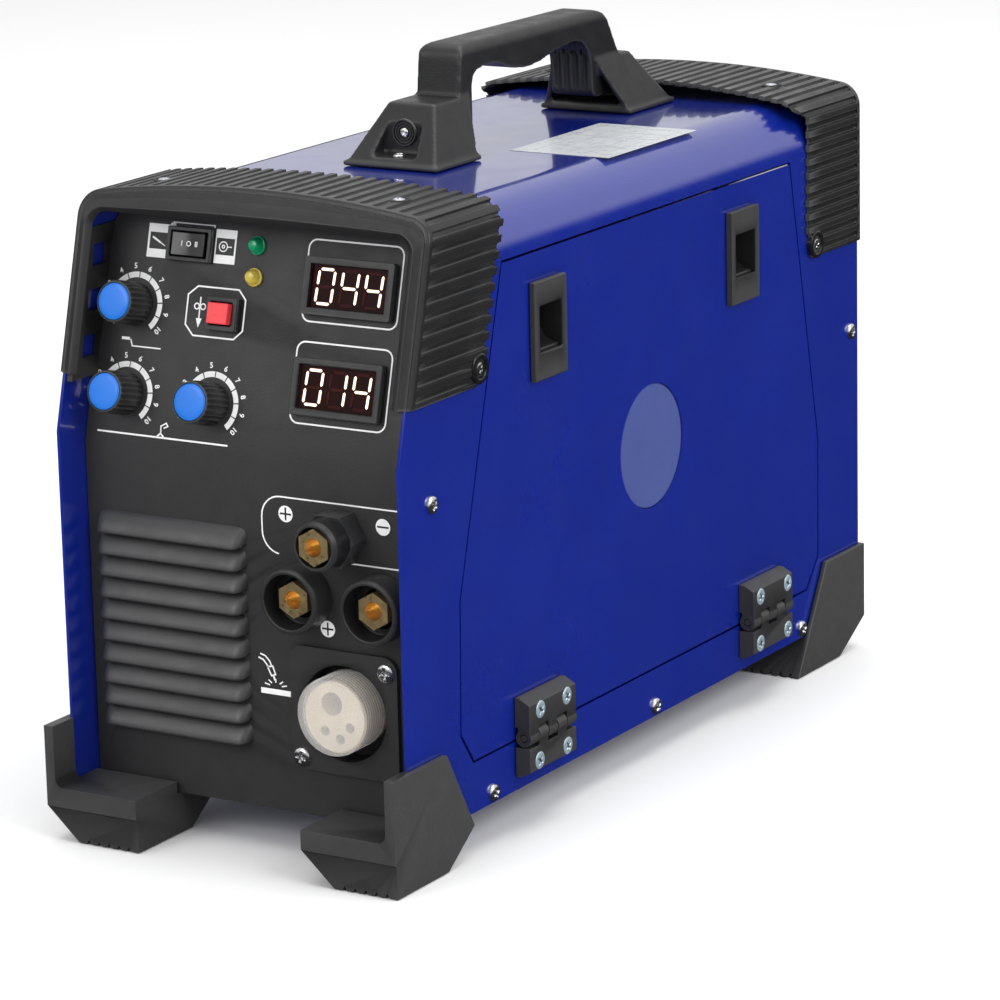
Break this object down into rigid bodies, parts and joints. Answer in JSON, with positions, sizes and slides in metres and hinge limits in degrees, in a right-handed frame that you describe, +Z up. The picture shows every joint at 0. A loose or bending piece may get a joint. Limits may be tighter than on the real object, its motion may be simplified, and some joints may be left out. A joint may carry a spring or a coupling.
{
  "type": "mig welding machine",
  "caption": "Portable wire-feed welding machine in a blue sheet-metal case with ribbed black hoods, carrying handle, corner feet, hinged side door and a leaning control face.",
  "frame": {"origin": "bottom centre of the bounding box, on the floor under the feet", "axes": "+Z up, the control face looks towards -Y, the hinged door is on the +X side"},
  "size_m": [0.196, 0.46, 0.346],
  "materials": {
    "blue_paint": "gloss powder coat",
    "black_plastic": "fine moulded grain",
    "facia_plastic": "satin",
    "foot_rubber": "matt",
    "knob_blue": "satin",
    "button_red": "gloss",
    "switch_black": "gloss",
    "led_green": "clear lens",
    "led_yellow": "clear lens",
    "brass": "turned",
    "cap_translucent": "translucent",
    "window_tint": "tinted clear",
    "zinc_steel": "zinc plated",
    "aluminium": "extruded",
    "board_green": "solder mask",
    "feeder_black": "satin",
    "arm_red": "satin",
    "spool_plastic": "satin"
  },
  "bodies": {
    "case": {"case_shell": "blue_paint", "base_tray": "blue_paint", "front_panel": "facia_plastic", "hood_front": "black_plastic", "hood_rear": "black_plastic", "handle": "black_plastic", "rear_panel": "black_plastic", "mode_switch_frame": "switch_black", "inch_button_housing": "black_plastic", "meter_current": "facia_plastic", "meter_voltage": "facia_plastic", "led_power": "led_green", "led_overload": "led_yellow", "socket_electrode": "black_plastic", "socket_positive": "black_plastic", "socket_negative": "black_plastic", "contact_electrode": "brass", "contact_positive": "brass", "contact_negative": "brass", "torch_plate": "black_plastic", "torch_connector": "brass", "fan_frame": "black_plastic", "mains_switch_frame": "switch_black", "mains_gland": "black_plastic", "gas_inlet": "brass", "divider": "zinc_steel", "heatsink": "aluminium", "circuit_board": "board_green", "feeder_body": "feeder_black", "spool_hub": "spool_plastic", "foot_front_left": "foot_rubber", "foot_front_right": "foot_rubber", "foot_rear_left": "foot_rubber", "foot_rear_right": "foot_rubber", "hinge_base_front": "black_plastic", "hinge_base_rear": "black_plastic"},
    "door": {"door": "blue_paint", "door_window": "window_tint", "latch_housing_front": "black_plastic", "latch_housing_rear": "black_plastic", "hinge_leaf_front": "black_plastic", "hinge_leaf_rear": "black_plastic"},
    "latch_front": {"latch_slide_front": "black_plastic"},
    "latch_rear": {"latch_slide_rear": "black_plastic"},
    "knob_a": {"knob_mma_current": "black_plastic", "knob_cap_mma_current": "knob_blue"},
    "knob_b": {"knob_mig_voltage": "black_plastic", "knob_cap_mig_voltage": "knob_blue"},
    "knob_c": {"knob_wire_speed": "black_plastic", "knob_cap_wire_speed": "knob_blue"},
    "mode_rocker": {"mode_rocker": "switch_black"},
    "inch_button": {"inch_button": "button_red"},
    "torch_cap": {"torch_cap": "cap_translucent"},
    "drive_roll": {"drive_roll": "zinc_steel"},
    "pressure_arm": {"pressure_arm": "arm_red"},
    "pressure_roll": {"pressure_roll": "zinc_steel"},
    "tension_knob": {"tension_knob": "black_plastic"},
    "wire_spool": {"wire_spool": "spool_plastic"},
    "fan_rotor": {"fan_rotor": "black_plastic"},
    "mains_rocker": {"mains_rocker": "button_red"}
  },
  "joints": [
    {"name": "door_hinge", "type": "hinge", "parent": "case", "child": "door", "pos_m": [0.0938, 0, 0.045], "axis": [0, 1, 0], "range_deg": [0, 95]},
    {"name": "latch_front_slide", "type": "slide", "parent": "door", "child": "latch_front", "axis": [0, 0, -1], "range_m": [0, 0.006], "stiffness_N_per_m": 300, "springref_m": -0.004},
    {"name": "latch_rear_slide", "type": "slide", "parent": "door", "child": "latch_rear", "axis": [0, 0, -1], "range_m": [0, 0.006], "stiffness_N_per_m": 300, "springref_m": -0.004},
    {"name": "mma_current_turn", "type": "hinge", "parent": "case", "child": "knob_a", "pos_m": [-0.0735, -0.17808, 0.24417], "axis": [0, -0.9668, 0.2554], "range_deg": [-140, 140]},
    {"name": "mig_voltage_turn", "type": "hinge", "parent": "case", "child": "knob_b", "pos_m": [-0.0735, -0.18855, 0.20453], "axis": [0, -0.9668, 0.2554], "range_deg": [-140, 140]},
    {"name": "wire_speed_turn", "type": "hinge", "parent": "case", "child": "knob_c", "pos_m": [-0.0263, -0.18862, 0.20424], "axis": [0, -0.9668, 0.2554], "range_deg": [-140, 140]},
    {"name": "mode_rock", "type": "hinge", "parent": "case", "child": "mode_rocker", "pos_m": [-0.046, -0.16868, 0.27189], "axis": [0, 0.2554, 0.9668], "range_deg": [-10, 10]},
    {"name": "inch_press", "type": "slide", "parent": "case", "child": "inch_button", "axis": [0, 0.9668, -0.2554], "range_m": [0, 0.002], "stiffness_N_per_m": 250, "springref_m": -0.002},
    {"name": "torch_cap_pull", "type": "slide", "parent": "case", "child": "torch_cap", "axis": [0, -1, 0], "range_m": [0, 0.02]},
    {"name": "drive_roll_spin", "type": "hinge", "parent": "case", "child": "drive_roll", "pos_m": [0.0457, -0.12, 0.0552], "axis": [1, 0, 0], "continuous": true},
    {"name": "pressure_arm_lift", "type": "hinge", "parent": "case", "child": "pressure_arm", "pos_m": [0.058, -0.154, 0.0847], "axis": [1, 0, 0], "range_deg": [0, 60]},
    {"name": "pressure_roll_spin", "type": "hinge", "parent": "pressure_arm", "child": "pressure_roll", "pos_m": [0.0457, -0.12, 0.0822], "axis": [1, 0, 0], "continuous": true},
    {"name": "tension_turn", "type": "hinge", "parent": "pressure_arm", "child": "tension_knob", "pos_m": [0.0487, -0.092, 0.095], "axis": [0, 0, 1], "continuous": true},
    {"name": "spool_spin", "type": "hinge", "parent": "case", "child": "wire_spool", "pos_m": [0.041, 0.084, 0.158], "axis": [1, 0, 0], "continuous": true},
    {"name": "fan_spin", "type": "hinge", "parent": "case", "child": "fan_rotor", "pos_m": [-0.049, 0.195, 0.11], "axis": [0, 1, 0], "continuous": true},
    {"name": "mains_rock", "type": "hinge", "parent": "case", "child": "mains_rocker", "pos_m": [0.042, 0.2085, 0.185], "axis": [0, 0, 1], "range_deg": [-10, 10]}
  ]
}
